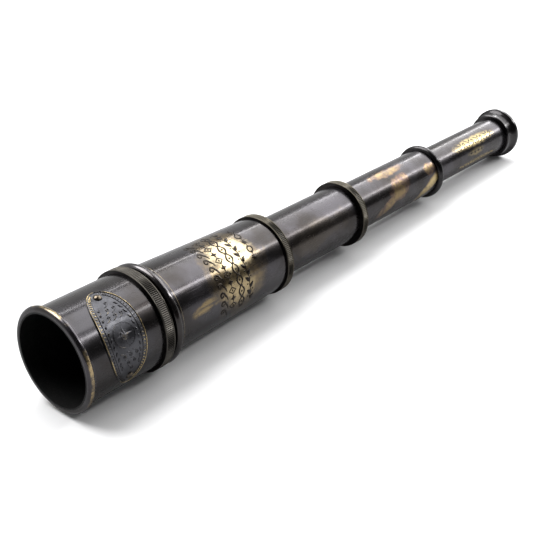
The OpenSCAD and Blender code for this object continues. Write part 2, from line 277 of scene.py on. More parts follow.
def inside_black(graph, colour, rough, bore_limit):
    """Blackens what lies nearer to the axis than bore_limit, in dull and dusty paint."""
    edge = 0.08
    paint, dust_tint = (0.017, 0.017, 0.017), (0.046, 0.044, 0.042)
    inner = graph.ramp(graph.radius, bore_limit + edge, bore_limit - edge)
    dust = graph.ramp(graph.noise(1.2, 5.0, 0.7, seed=2), 0.45, 0.8)
    black = graph.blend(graph.times(dust, 0.5), paint, dust_tint)
    colour = graph.blend(inner, colour, black)
    rough = graph.most(rough, graph.times(inner, 0.72))
    return colour, rough


def worn(graph, colour, rough, mask, brass, seed):
    """Lets brass show where mask is 1, broken up by fine noise."""
    broken = graph.ramp(graph.noise(2.2, 6.0, 0.7, seed=seed + 21), 0.30, 0.62)
    share = graph.times(mask, broken)
    return graph.blend(share, colour, brass), graph.add_up(rough, graph.times(share, 0.10))


def shell_material(name, bore_limit, seed, base, light=VIOLET, coat=0.25, wear=(), brass=BRASS, spots=()):
    """Polished dark tube, blackened inside.

    base is its roughness. wear holds bands (x, half width) where brass shows, and spots holds functions
    that rub a patch through: each takes and gives the colour and the roughness.
    """
    graph = Graph(name)
    colour = bronzed(graph, seed, BROWN, light)
    marks = drawn_lines(graph, seed)
    rough = polish(graph, marks, base, seed)
    for x, half in wear:
        colour, rough = worn(graph, colour, rough, graph.near(graph.x, x, half, half * 1.5), brass, seed)
    for spot in spots:
        colour, rough = spot(graph, colour, rough)
    colour, rough = inside_black(graph, colour, rough, bore_limit)
    dents = graph.noise(7, 2.0, 0.5, seed=seed + 31)
    graph.bump(graph.add_up(graph.times(marks, 0.6), graph.times(dents, 3.0)), 0.006)
    return graph.finish(colour, rough, coat=coat, coat_roughness=0.08)


def hood_material():
    """The hood, slightly darker than the barrel."""
    return shell_material("hood_bronzed", hood.radius - 0.5, 1.0, 0.22, light=(0.066, 0.063, 0.068))


# The barrel's five rows of ornament: the last stands a little apart
ROW_STEP = 7.4
ROW_START = barrel_end - 55.7
LAST_ROW_GAP = 2.6
ROWS_X = [ROW_START + ROW_STEP * i for i in range(4)] + [ROW_START + ROW_STEP * 4 + LAST_ROW_GAP]


def barrel_material():
    """Dark barrel with brass rubbed through behind the ornament, and one smear before it."""
    middle = (ROWS_X[0] + ROWS_X[-1]) / 2
    bright, mellow, smeared = (0.80, 0.67, 0.42), (0.46, 0.36, 0.20), (0.31, 0.23, 0.115)

    def patch(graph, colour, rough):
        glow = graph.spot(middle, 40, 20, 72, ragged=0.50, blotch=11, seed=4)
        core = graph.spot(middle + 2, 56, 14, 25, ragged=0.50, blotch=7, seed=6)
        lower = graph.spot(middle - 3, 11, 12, 20, ragged=0.55, blotch=6, seed=8)
        streaky = graph.noise(0.9, 4.0, 0.6, stretch=(16, 1, 1), seed=5)
        blotches = graph.noise(3.2, 6.0, 0.7, stretch=(1, 1.6, 1.6), seed=15)
        glow = graph.times(glow, graph.ramp(streaky, 0.22, 0.66, 0.35, 0.95))
        glow = graph.times(glow, graph.ramp(blotches, 0.30, 0.60, 0.35, 1.0))
        colour = graph.blend(glow, colour, OLD_BRASS)
        uneven = graph.add_up(graph.times(streaky, 0.5), graph.times(blotches, 0.5))
        broken = graph.ramp(uneven, 0.34, 0.56, 0.2, 1.0)
        colour = graph.blend(graph.times(lower, broken), colour, mellow)
        colour = graph.blend(graph.times(core, broken), colour, bright)
        rough = graph.add_up(rough, graph.times(core, 0.12))
        smear = graph.spot(barrel_end - 71, 9, 9, 8, lean=0.35, ragged=0.7, blotch=5, seed=9)
        smear = graph.times(smear, graph.times(graph.ramp(streaky, 0.3, 0.6, 0.3, 0.9), broken))
        return graph.blend(smear, colour, smeared), rough

    return shell_material("barrel_bronzed", BARREL_REAR_R - 1.1, 2.0, 0.20, wear=((flange.end, 0.35),),
                          brass=(0.36, 0.29, 0.17), spots=(patch,))


def draw_material(name, draw, seed, patch):
    """A draw's dark finish with its own patch. Deeper than skin below its surface it is black."""
    skin = 0.42
    return shell_material(name, draw.radius - skin, seed, 0.23, coat=0.12, spots=(patch,))


def draw_1_material():
    """Dark draw with one faint brown tint."""
    def faint(graph, colour, rough):
        tint = graph.spot(draw_1_end - 40, 20, 30, 26, lean=0.4, ragged=0.7, blotch=12, seed=14)
        return graph.blend(graph.times(tint, 0.5), colour, (0.10, 0.085, 0.068)), rough

    return draw_material("draw_1_bronzed", draw_1, 3.0, faint)


def draw_2_material():
    """Dark draw with cloudy golden patches and a pinkish halo round them."""
    end = draw_2_end
    pinkish, golden, bright = (0.115, 0.075, 0.070), (0.27, 0.195, 0.092), (0.58, 0.45, 0.22)

    def patches(graph, colour, rough):
        crescent = graph.spot(end - 9.5, -9, 7.5, 34, lean=0.42, ragged=0.25, blotch=7, seed=1)
        upper = graph.spot(end - 7, 34, 7, 15, ragged=0.5, blotch=6, seed=2)
        middle = graph.spot(end - 45, 27, 11, 27, lean=0.12, ragged=0.5, blotch=8, seed=3)
        low = graph.spot(end - 62, -6, 8, 20, lean=0.45, ragged=0.5, blotch=6, seed=5)
        top = graph.spot(end - 50, 76, 17, 12, ragged=0.6, blotch=7, seed=7)
        clouds = graph.ramp(graph.noise(17, 5.0, 0.6, stretch=(1.3, 1, 1), seed=40), 0.60, 0.72)
        from_front = graph.math("ABSOLUTE", graph.math("SUBTRACT", graph.angle, 20.0))
        back = graph.times(clouds, graph.ramp(from_front, 100.0, 130.0))
        soft = graph.most(graph.most(upper, middle), graph.most(graph.most(low, top), back))
        every = graph.most(soft, crescent)
        grain = graph.noise(2.4, 6.0, 0.7, seed=8)
        blotches = graph.noise(5.5, 6.0, 0.68, stretch=(1, 1.5, 1.5), seed=18)
        uneven = graph.add_up(graph.times(grain, 0.45), graph.times(blotches, 0.55))
        broken = graph.ramp(uneven, 0.38, 0.60)
        halo = graph.ramp(every, 0.0, 0.35, 0.0, 0.8)
        colour = graph.blend(halo, colour, pinkish)
        colour = graph.blend(graph.times(soft, broken), colour, golden)
        share = graph.times(crescent, graph.ramp(broken, 0.0, 0.6, 0.45, 1.0))
        colour = graph.blend(share, colour, bright)
        return colour, graph.add_up(rough, graph.times(every, 0.08))

    return draw_material("draw_2_mottled", draw_2, 4.0, patches)


# The third draw's rows of marks: the angle of each, and where they begin and end
DRAW_3_ROWS = {"large": 47, "short": 14, "lower": -17}
MARKS_X = (draw_3.end - 67, draw_3.end - 17)


def draw_3_material():
    """Dark draw with brass rubbed through behind its three rows of marks."""
    middle = sum(MARKS_X) / 2

    def patches(graph, colour, rough):
        first = graph.spot(middle, DRAW_3_ROWS["large"], 27, 17, ragged=0.45, blotch=4, seed=2)
        second = graph.spot(middle - 1, DRAW_3_ROWS["short"], 10, 11, ragged=0.5, blotch=4, seed=4)
        third = graph.spot(middle, DRAW_3_ROWS["lower"], 25, 9, ragged=0.5, blotch=4, seed=6)
        share = graph.most(graph.times(first, 0.95), graph.times(graph.most(second, third), 0.45))
        grain = graph.noise(1.3, 5.0, 0.7, stretch=(2, 1, 1), seed=12)
        share = graph.times(share, graph.ramp(grain, 0.25, 0.5))
        return graph.blend(share, colour, (0.42, 0.33, 0.16)), rough

    return draw_material("draw_3_bronzed", draw_3, 5.0, patches)


def ring_material(name, seed, base, light=VIOLET, edges=(), brass=BRASS, bore_limit=0.0, rim_r=None):
    """Turned dark ring.

    edges are bands (x, half width) where brass shows, rim_r is an outer radius that is worn in places,
    and what lies inside bore_limit is black.
    """
    graph = Graph(name)
    colour = bronzed(graph, seed, BROWN, light)
    marks = turned_lines(graph, seed)
    rough = polish(graph, marks, base, seed)
    for x, half in edges:
        colour, rough = worn(graph, colour, rough, graph.near(graph.x, x, half, half), brass, seed)
    if rim_r:
        patchy = graph.ramp(graph.noise(16, 3.0, 0.5, seed=seed + 2), 0.44, 0.60)
        outer = graph.ramp(graph.radius, rim_r - 0.5, rim_r - 0.08)
        colour, rough = worn(graph, colour, rough, graph.times(outer, patchy), brass, seed)
    if bore_limit:
        colour, rough = inside_black(graph, colour, rough, bore_limit)
    graph.bump(marks, 0.006)
    return graph.finish(colour, rough, coat=0.3, coat_roughness=0.06)


def knurl_material(name, ring, seed, valley, crest, stained):
    """Knurled collar: crests rubbed to brass and stained in places, valleys dark, flat faces black."""
    knurl_depth, crest_depth = 0.35, 0.32
    graph = Graph(name)
    colour = bronzed(graph, seed, SOOT, BROWN)
    marks = turned_lines(graph, seed)
    rough = graph.add_up(polish(graph, marks, 0.26, seed), 0.02)
    out = graph.ramp(graph.radius, ring.radius - 0.9, ring.radius - knurl_depth)
    colour = graph.blend(out, colour, valley)
    tops = graph.ramp(graph.radius, ring.radius - crest_depth, ring.radius - 0.06)
    patchy = graph.ramp(graph.noise(11, 4.0, 0.6, seed=seed + 2), 0.30, 0.62, 0.35, 1.0)
    colour = graph.blend(graph.times(tops, patchy), colour, crest)
    stain = graph.ramp(graph.noise(4.0, 5.0, 0.65, seed=seed + 4), 0.50, 0.66)
    colour = graph.blend(graph.times(graph.times(tops, stain), 0.6), colour, stained)
    colour, rough = inside_black(graph, colour, rough, ring.radius - 4.0)
    graph.bump(marks, 0.008)
    return graph.finish(colour, rough, coat=0.1)


def badge_material():
    """Blue-grey cast plate, slightly pitted, with a soft sheen."""
    graph = Graph("badge_field")
    clouds = graph.ramp(graph.noise(8, 5.0, 0.6, seed=3), 0.35, 0.65)
    colour = graph.blend(clouds, (0.070, 0.070, 0.077), (0.112, 0.113, 0.124))
    pits = graph.noise(0.5, 3.0, 0.6, seed=5)
    colour = graph.blend(graph.ramp(pits, 0.60, 0.72), colour, (0.040, 0.037, 0.036))
    rough = graph.ramp(graph.noise(3, 4.0, 0.6, seed=6), 0.3, 0.7, 0.27, 0.40)
    graph.bump(graph.add_up(pits, graph.times(graph.noise(2.2, 3.0, seed=9), 1.5)), 0.03)
    return graph.finish(colour, rough, coat=0.15)


def relief_material(name, surface_r, height, field, crest, seed, share=0.55, blotch=9.0, only=None):
    """Raised ornament of some height on a surface: dark flanks, and crests rubbed bright in places.

    A higher share rubs more of them, and only is a function whose graph value limits where.
    """
    graph = Graph(name)
    tops = graph.ramp(graph.radius, surface_r + 0.35 * height, surface_r + 0.9 * height)
    blotches = graph.noise(blotch, 4.0, 0.6, seed=seed)
    patchy = graph.ramp(blotches, 0.62 - share * 0.3, 0.78 - share * 0.3)
    if only:
        patchy = graph.times(patchy, only(graph))
    fine = graph.noise(0.9, 4.0, 0.6, seed=seed + 1)
    bright = graph.times(tops, graph.times(patchy, graph.ramp(fine, 0.25, 0.5)))
    colour = graph.blend(bright, field, crest)
    rough = graph.ramp(fine, 0.3, 0.7, 0.22, 0.36)
    graph.bump(fine, 0.01)
    return graph.finish(colour, rough, coat=0.15)


def plain_brass_material(name, seed, clean, tarnished):
    """Machined brass of the inner parts, slightly tarnished."""
    graph = Graph(name)
    tarnish = graph.ramp(graph.noise(6, 5.0, 0.6, seed=seed), 0.40, 0.72)
    marks = turned_lines(graph, seed)
    colour = graph.blend(graph.times(tarnish, 0.8), clean, tarnished)
    graph.bump(marks, 0.012)
    return graph.finish(colour, graph.add_up(graph.times(marks, 0.12), 0.24))


def blackened_material(name, seed):
    """Matt black lacquer of the cells and rings, rubbed to brass in specks."""
    graph = Graph(name)
    grain = graph.noise(0.7, 5.0, 0.65, seed=seed)
    colour = graph.blend(graph.ramp(grain, 0.40, 0.7), (0.010, 0.010, 0.010), (0.035, 0.034, 0.033))
    specks = graph.ramp(graph.noise(1.8, 5.0, 0.7, seed=seed + 1), 0.74, 0.80)
    colour = graph.blend(specks, colour, OLD_BRASS)
    graph.bump(graph.add_up(grain, turned_lines(graph, seed)), 0.015)
    return graph.finish(colour, graph.ramp(grain, 0.3, 0.7, 0.42, 0.58), metallic=0.6)


def glass_material():
    """Clear lens with faint dust and a polished surface."""
    graph = Graph("lens_glass")
    dust = graph.ramp(graph.noise(0.8, 5.0, 0.7, seed=3), 0.60, 0.80)
    graph.shader.inputs["Transmission Weight"].default_value = 1.0
    graph.shader.inputs["IOR"].default_value = 1.52
    colour = graph.blend(dust, (0.93, 0.97, 0.96), (0.80, 0.84, 0.83))
    return graph.finish(colour, graph.ramp(dust, 0.0, 1.0, 0.0, 0.16), metallic=0.0)


def black_gloss_material(name, seed, edges=()):
    """Nearly black bronze, highly polished, with a little brown in bands (x, half width)."""
    edge_brown = (0.16, 0.125, 0.08)
    graph = Graph(name)
    clouds = graph.ramp(graph.noise(12, 4.0, 0.6, seed=seed), 0.35, 0.68)
    colour = graph.blend(clouds, (0.024, 0.023, 0.024), (0.055, 0.052, 0.053))
    marks = turned_lines(graph, seed)
    rough = polish(graph, marks, 0.22, seed)
    for x, half in edges:
        colour, rough = worn(graph, colour, rough, graph.near(graph.x, x, half, half), edge_brown, seed)
    graph.bump(marks, 0.005)
    return graph.finish(colour, rough, coat=0.2, coat_roughness=0.08)


def dress(node, material):
    """Gives a CAD node its finish."""
    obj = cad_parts[node]
    obj.data.materials.clear()
    obj.data.materials.append(material)


# Nodes that share a finish
SLEEVES = ("guide_sleeve_1", "guide_sleeve_2", "guide_sleeve_3",
           "stop_ring_1", "stop_ring_2", "stop_ring_3")
CELLS = ("objective_cell", "doublet_spacer", "objective_ring", "erector_tube", "erector_front_ring",
         "erector_stop", "erector_rear_ring", "eyepiece_tube", "field_lens_ring", "eye_lens_ring")
LENSES = ("crown_lens", "flint_lens", "erector_front_lens", "erector_rear_lens", "field_lens", "eye_lens")


def rim_material():
    return ring_material("rim_bronzed", 7.0, 0.20, bore_limit=rim.radius - 2.9, rim_r=rim.radius)


def bead_material():
    return ring_material("bead_bronzed", 9.0, 0.15, light=(0.135, 0.128, 0.132))


def flange_material():
    rear_edge = (flange.end - 0.2, 0.35)
    return ring_material("flange_bronzed", 10.0, 0.18, edges=(rear_edge,), brass=(0.26, 0.215, 0.14))


def rivet_material():
    return relief_material("rivet_worn", badge_r, 0.9, (0.050, 0.045, 0.042), (0.150, 0.120, 0.084), 4.0,
                           share=0.8, blotch=2.0)


def hood_ring_material():
    return knurl_material("hood_knurl", hood_ring, 2.0, valley=(0.022, 0.020, 0.019),
                          crest=(0.100, 0.092, 0.078), stained=(0.060, 0.055, 0.048))


def collar_material(name, ring, seed):
    return knurl_material(name, ring, seed, valley=(0.012, 0.011, 0.010),
                          crest=(0.092, 0.081, 0.060), stained=(0.046, 0.041, 0.032))


def smoked_material():
    return plain_brass_material("bush_smoked", 4.0, (0.060, 0.048, 0.032), (0.024, 0.020, 0.016))


def dress_all():
    """Gives each CAD node its finish."""
    dress("front_rim", rim_material())
    dress("hood_tube", hood_material())
    dress("badge_plate", badge_material())
    dress("badge_rivets", rivet_material())
    dress("hood_ring", hood_ring_material())
    dress("joint_bead", bead_material())
    dress("barrel_flange", flange_material())
    dress("main_barrel", barrel_material())
    dress("draw_tube_1", draw_1_material())
    dress("draw_tube_2", draw_2_material())
    dress("draw_tube_3", draw_3_material())
    dress("collar_1", collar_material("collar_1_knurl", collar_1, 5.0))
    dress("collar_2", collar_material("collar_2_knurl", collar_2, 6.0))
    dress("collar_3", black_gloss_material("collar_3_black", 3.0))
    dress("eyecup_base", black_gloss_material("cup_base_black", 5.0, ((cup_base.end, 0.3),)))
    dress("eyecup", black_gloss_material("eyecup_black", 6.0))
    dress("front_bush", smoked_material())
    brass = plain_brass_material("machined_brass", 2.0, BRASS, (0.27, 0.19, 0.10))
    for node in SLEEVES:
        dress(node, brass)
    black = blackened_material("cell_black", 3.0)
    for node in CELLS:
        dress(node, black)
    glass = glass_material()
    for node in LENSES:
        dress(node, glass)


# ---- Raised ornament ----

# How far ornament is sunk into its surface, and a stroke's cross-section as shares of its half width
# and height
FOOT = -0.06
STROKE_PROFILE = ((-1.0, 0.0), (-0.62, 0.78), (0.0, 1.0), (0.62, 0.78), (1.0, 0.0))


class Relief:
    """Ornament drawn flat in millimetres, (along, across), and laid on a turned surface at the end."""

    def __init__(self):
        self.points = []
        self.faces = []

    def add(self, along, across, height):
        self.points.append((along, across, height))
        return len(self.points) - 1

    def ribbon(self, path, width, height, closed=False):
        """Stroke with a rounded top along a path. An open stroke thins towards its two ends."""
        count = len(path)
        thin_end = 0.25
        rings = []
        for i, (px, py) in enumerate(path):
            before = path[(i - 1) % count] if closed or i else path[0]
            after = path[(i + 1) % count] if closed or i < count - 1 else path[-1]
            dx, dy = after[0] - before[0], after[1] - before[1]
            size = math.hypot(dx, dy) or 1.0
            nx, ny = -dy / size, dx / size
            share = i / max(count - 1, 1)
            taper = 1.0 if closed else thin_end + (1 - thin_end) * math.sin(math.pi * share) ** 0.6
            half = width / 2 * taper
            ring = [self.add(px + nx * half * s, py + ny * half * s, height * h if h else FOOT)
                    for s, h in STROKE_PROFILE]
            rings.append(ring)
        following = rings[1:] + rings[:1] if closed else rings[1:]
        for first, second in zip(rings, following):
            for k in range(len(first)):
                n = (k + 1) % len(first)
                self.faces.append((first[k], first[n], second[n], second[k]))
        if not closed:
            self.faces.append(tuple(reversed(rings[0])))
            self.faces.append(tuple(rings[-1]))

    def boss(self, outline, height, shoulder=0.72, crown=0.8):
        """Closed raised shape with a shoulder and a peak at its middle."""
        cx = sum(p[0] for p in outline) / len(outline)
        cy = sum(p[1] for p in outline) / len(outline)
        foot = [self.add(x, y, FOOT) for x, y in outline]
        upper = [self.add(cx + (x - cx) * shoulder, cy + (y - cy) * shoulder, height * crown)
                 for x, y in outline]
        peak = self.add(cx, cy, height)
        count = len(outline)
        for k in range(count):
            n = (k + 1) % count
            self.faces.append((foot[k], foot[n], upper[n], upper[k]))
            self.faces.append((upper[k], upper[n], peak))
        self.faces.append(tuple(reversed(foot)))

    def lay(self, name, place, material, body, slot, smooth=True):
        """Makes the mesh, which moves with body; place turns a flat point into one on the telescope."""
        mesh = bpy.data.meshes.new(name)
        mesh.from_pydata([place(*p) for p in self.points], [], self.faces)
        mesh.validate()
        for face in mesh.polygons:
            face.use_smooth = smooth
        obj = bpy.data.objects.new(name, mesh)
        bpy.context.scene.collection.objects.link(obj)
        mesh.materials.append(material)
        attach(obj, body)


def on_surface(x, angle, radius, height):
    """Point on a turned surface, in metres."""
    turn = math.radians(angle)
    r = radius + height
    return Vector((x, -r * math.cos(turn), r * math.sin(turn))) * MM


def round_point(cx, cy, radius, turn):
    return cx + radius * math.cos(turn), cy + radius * math.sin(turn)


def circle(cx, cy, radius, count):
    return [round_point(cx, cy, radius, 2 * math.pi * k / count) for k in range(count)]


def star(cx, cy, outer, inner, points, turn=0.0):
    """Star whose corners lie outer and inner from its middle by turns."""
    return [round_point(cx, cy, inner if k % 2 else outer, turn + math.pi * k / points)
            for k in range(2 * points)]


def diamond(cx, cy, half_along, half_across):
    return [(cx - half_along, cy), (cx, cy - half_across), (cx + half_along, cy), (cx, cy + half_across)]


def leaf(cx, cy, length, width, turn):
    """Pointed leaf, its tip in the direction turn."""
    count = 14
    taper = 0.45
    outline = []
    for k in range(count):
        t = 2 * math.pi * k / count
        along = math.cos(t) * length / 2
        across = math.sin(t) * width / 2 * (1 - taper * math.cos(t))
        outline.append((cx + along * math.cos(turn) - across * math.sin(turn),
                        cy + along * math.sin(turn) + across * math.cos(turn)))
    return outline


def scroll(cx, cy, size, flip=1.0):
    """Wave that rises from the left and curls over into a spiral."""
    steps = 22
    rise = 0.4
    curl_r = size * 0.55
    points = []
    for k in range(steps):
        t = k / (steps - 1)
        if t < rise:
            s = t / rise
            points.append((cx - size * (1.0 - s) * 1.15, cy - curl_r * flip * (1 - s * s)))
        else:
            s = (t - rise) / (1 - rise)
            turn = -math.pi / 2 + s * 2.1 * math.pi
            r = curl_r * (1 - 0.72 * s)
            points.append((cx + r * math.cos(turn), cy + flip * (r * math.sin(turn) + curl_r)))
    return points


# Badge: an oval border with ticks, a compass star in a ring, waves and leaves

BADGE_H = 0.34
badge_low, badge_high = node_angles("badge_plate")
badge_angle = (badge_low + badge_high) / 2
badge_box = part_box("badge_plate")
badge_x = (badge_box[0].x + badge_box[1].x) / 2 / MM
badge_half_x = (badge_box[1].x - badge_box[0].x) / 2 / MM
badge_half_round = math.radians(badge_high - badge_low) / 2 * badge_r

# The rivets lie this far round the hood from the badge's middle
rivet_low, rivet_high = node_angles("badge_rivets")
RIVET_R = 2.4
RIVET_MARGIN = 0.6
rivet_round = (math.radians(rivet_high - rivet_low) / 2) * badge_r - RIVET_R

# Half sizes of the border's oval and of the oval line inside the ticks
edge_x, edge_round = badge_half_x - 0.5, badge_half_round - 0.5
inner_x, inner_round = edge_x - 2.6, edge_round - 2.8


def on_badge(along, across, height):
    """Along runs with the optical axis, across runs round the hood."""
    return on_surface(badge_x + along, badge_angle + math.degrees(across / badge_r), badge_r, height)


def oval_point(half_x, half_round, turn):
    return half_x * math.cos(turn), half_round * math.sin(turn)


def clear_of_rivets(point):
    clearance = RIVET_R + RIVET_MARGIN
    return all(math.hypot(point[0], point[1] - side * rivet_round) > clearance for side in (-1, 1))


def badge_corners(graph):
    """1 towards the badge's upper front and lower rear, where its edge is rubbed most."""
    along = graph.times(graph.math("SUBTRACT", graph.x, badge_x), 1 / badge_half_x)
    across = graph.times(graph.math("SUBTRACT", graph.angle, badge_angle), 2 / (badge_high - badge_low))
    return graph.ramp(graph.times(along, across), -0.02, -0.22)


def badge_border():
    border = Relief()
    count = 160
    path = [oval_point(edge_x, edge_round, 2 * math.pi * k / count) for k in range(count)]
    border.ribbon(path, 0.75, 0.4, closed=True)
    return border


def badge_ticks():
    """Short strokes between the border and the inner line, left out beside the rivets."""
    ticks = Relief()
    count = 84
    for k in range(count):
        turn = 2 * math.pi * (k + 0.5) / count
        start = oval_point(edge_x - 0.65, edge_round - 0.65, turn)
        end = oval_point(inner_x + 0.55, inner_round + 0.55, turn)
        if clear_of_rivets(start) and clear_of_rivets(end):
            path = [(start[0] + (end[0] - start[0]) * s, start[1] + (end[1] - start[1]) * s)
                    for s in (0.0, 0.33, 0.67, 1.0)]
            ticks.ribbon(path, 0.85, 0.24)
    return ticks


def badge_inner_line():
    """Oval line inside the ticks, in runs that stop short of the rivets."""
    line = Relief()
    count = 200
    width, height = 0.5, 0.28
    run = []
    for k in range(count + 1):
        point = oval_point(inner_x, inner_round, 2 * math.pi * k / count - math.pi / 2)
        if clear_of_rivets(point):
            run.append(point)
        elif run:
            line.ribbon(run, width, height)
            run = []
    if run:
        line.ribbon(run, width, height)
    return line


def badge_star():
    """Compass star: four long points over four short ones."""
    compass = Relief()
    compass.boss(star(0, 0, 5.6, 1.5, 4), BADGE_H + 0.16, shoulder=0.93, crown=0.12)
    compass.boss(star(0, 0, 3.6, 1.3, 4, math.pi / 4), BADGE_H + 0.06, shoulder=0.93, crown=0.12)
    return compass


def badge_rings():
    """Two rings round the compass star, with beads inside the outer one."""
    rings = Relief()
    for radius, width in ((6.6, 0.5), (2.3, 0.35)):
        rings.ribbon(circle(0, 0, radius, 64), width, BADGE_H * 0.8, closed=True)
    beads = 24
    for k in range(beads):
        cx, cy = round_point(0, 0, 5.9, 2 * math.pi * (k + 0.5) / beads)
        rings.boss(circle(cx, cy, 0.2, 8), 0.2)
    return rings


def badge_waves():
    """Three shortening rows of waves on either side of the compass star."""
    waves = Relief()
    for side in (-1, 1):
        for row, count in enumerate((3, 2, 1)):
            across = side * (10.6 + 4.0 * row)
            for k in range(count):
                along = (k - (count - 1) / 2) * 4.0
                waves.ribbon(scroll(along + 0.5, across - side * 0.6, 1.95, side), 0.85, BADGE_H)
    return waves


def badge_leaves():
    """A row of leaves along each side of the oval."""
    leaves = Relief()
    ring_x, ring_round = inner_x - 1.7, inner_round - 3.6
    count = 11
    for side in (-1, 1):
        for k in range(count):
            turn = math.radians(-48 + 96 * k / (count - 1))
            cx, cy = oval_point(ring_x * side, ring_round, turn)
            lean = math.atan2(ring_round * math.cos(turn), -ring_x * side * math.sin(turn))
            leaves.boss(leaf(cx, cy, 3.1, 1.4, lean + 0.4 * side), BADGE_H)
    return leaves


def make_badge():
    dark_brass = (0.070, 0.066, 0.066)
    border_brass = relief_material("badge_border_worn", badge_r, 0.4, dark_brass, (0.54, 0.42, 0.22), 12.0,
                                   share=0.65, blotch=11.0)
    tick_brass = relief_material("badge_ticks_worn", badge_r, 0.2, dark_brass, (0.58, 0.46, 0.25), 9.0,
                                 share=1.0, only=badge_corners)
    dark = relief_material("badge_relief_worn", badge_r, BADGE_H, (0.062, 0.061, 0.066),
                           (0.30, 0.245, 0.155), 31.0, share=0.30, blotch=6.0)
    badge_border().lay("badge_border", on_badge, border_brass, "barrel", "rubbed_brass")
    badge_ticks().lay("badge_ticks", on_badge, tick_brass, "barrel", "badge")
    badge_inner_line().lay("badge_inner_line", on_badge, dark, "barrel", "badge")
    badge_star().lay("badge_star", on_badge, dark, "barrel", "badge", smooth=False)
    badge_rings().lay("badge_rings", on_badge, dark, "barrel", "badge")
    badge_waves().lay("badge_waves", on_badge, dark, "barrel", "badge")
    badge_leaves().lay("badge_leaves", on_badge, dark, "barrel", "badge")


# Barrel: five rows of dark ornament that run round it, from an angle a little under its side

ROW_LOW = -20
ROW_HALF = 2.7
BARREL_H = 0.16


def on_barrel_row(x):
    """Along runs round the barrel from the row's lower end, across runs back towards the hood."""
    def place(along, across, height):
        at = x - across
        angle = ROW_LOW + math.degrees(along / barrel_radius(x))
        return on_surface(at, angle, barrel_radius(at), height)
    return place


def places(low, high, step):
    """Starts of the whole steps that fit between low and high."""
    return [low + step * k for k in range(int((high - low) / step))]


def row_waves(relief, low, high):
    step = 5.3
    for start in places(low, high, step):
        relief.ribbon(scroll(start + step * 0.62, -1.0, 3.5), 1.6, BARREL_H)


def row_diamonds(relief, low, high):
    """Stars and diamonds by turns."""
    step = 4.7
    for k, start in enumerate(places(low, high, step)):
        cx = start + step / 2
        if k % 2:
            relief.boss(star(cx, 0, ROW_HALF, 1.2, 4, math.pi / 2), BARREL_H, shoulder=0.8)
        else:
            relief.ribbon(diamond(cx, 0, 1.9, ROW_HALF), 1.2, BARREL_H, closed=True)
            relief.boss(circle(cx, 0, 0.7, 10), BARREL_H)


def row_rope(relief, low, high):
    """Two strands that cross, with a bead in each loop."""
    step = 6.8
    points = 16
    for start in places(low, high, step):
        for flip in (-1, 1):
            path = [(start + step * i / points, flip * 2.1 * math.sin(math.pi * i / points))
                    for i in range(points + 1)]
            relief.ribbon(path, 1.5, BARREL_H)
        relief.boss(circle(start + step / 2, 0, 0.8, 12), BARREL_H)
        relief.boss(diamond(start, 0, 0.7, 2.0), BARREL_H)


def row_leaves(relief, low, high):
    """A waving stem with leaves and berries on both sides."""
    step = 3.9
    points = 60
    for k, start in enumerate(places(low, high, step)):
        cx = start + step / 2
        side = 1 if k % 2 else -1
        relief.boss(leaf(cx, side * 1.3, 4.8, 2.5, side * 0.85), BARREL_H)
        relief.boss(circle(cx + 1.0, -side * 1.9, 0.6, 10), BARREL_H)
    length = high - low
    stem = [(low + length * i / points, 0.55 * math.sin(i * math.pi * length / step / points))
            for i in range(points + 1)]
    relief.ribbon(stem, 0.7, BARREL_H)


def row_stars(relief, low, high):
    """Rings and eight-pointed stars by turns, with a dot after each."""
    step = 5.3
    for k, start in enumerate(places(low, high, step)):
        cx = start + step / 2
        if k % 2:
            relief.ribbon(circle(cx, 0, 1.9, 20), 1.2, BARREL_H, closed=True)
        else:
            relief.boss(star(cx, 0, 2.9, 1.35, 8), BARREL_H, shoulder=0.8)
        relief.boss(circle(cx + step / 2, 0, 0.5, 8), BARREL_H)


# Each row's pattern, and the degrees past ROW_LOW between which it runs
BARREL_ROWS = (
    (row_waves, 0, 128),
    (row_diamonds, 5, 126),
    (row_rope, 1, 128),
    (row_leaves, 4, 124),
    (row_stars, 52, 118),
)


def make_barrel_rows():
    ink = relief_material("barrel_ornament_dark", BARREL_REAR_R, 3.0, (0.022, 0.017, 0.013),
                          (0.05, 0.04, 0.03), 3.0)
    for k, ((pattern, first, last), x) in enumerate(zip(BARREL_ROWS, ROWS_X)):
        relief = Relief()
        one_degree = math.radians(1) * barrel_radius(x)
        pattern(relief, first * one_degree, last * one_degree)
        relief.lay(f"barrel_row_{k + 1}", on_barrel_row(x), ink, "barrel", "dark_shell")


# Third draw: three rows of marks along it, almost flush so that they clear the sleeve. They are drawn
# with height 1, and laid with their tops MARK_H above the surface and the rest sunk in it.

MARK_H = 0.022
MARK_FOOT = -0.02
MARKS_LENGTH = MARKS_X[1] - MARKS_X[0]


def on_draw_row(angle):
    """Along runs to the eyecup, across runs up round the draw."""
    def place(along, across, height):
        lifted = MARK_H if height > 0 else MARK_FOOT
        turned = angle + math.degrees(across / draw_3.radius)
        return on_surface(MARKS_X[0] + along, turned, draw_3.radius, lifted)
    return place


def draw_scrolls():
    """The large row: eight scrolls, up and down by turns, each with a leaf."""
    large = Relief()
    count = 8
    for k in range(count):
        cx = 3.6 + k * (MARKS_LENGTH - 6.8) / (count - 1)
        flip = 1 if k % 2 else -1
        large.ribbon(scroll(cx + 0.8, -1.1 * flip, 3.3, flip), 1.15, 1.0)
        large.boss(leaf(cx - 2.5, 2.0 * flip, 3.2, 1.5, 0.9 * flip), 1.0)
    return large


def draw_stars():
    """The short row: four stars with dots between."""
    short = Relief()
    count = 4
    for k in range(count):
        cx = MARKS_LENGTH / 2 - 1 + (k - (count - 1) / 2) * 5.0
        short.boss(star(cx, 0, 2.2, 0.9, 4 + 2 * (k % 2)), 1.0, shoulder=0.8)
        short.boss(circle(cx + 2.5, 0, 0.45, 8), 1.0)
    return short


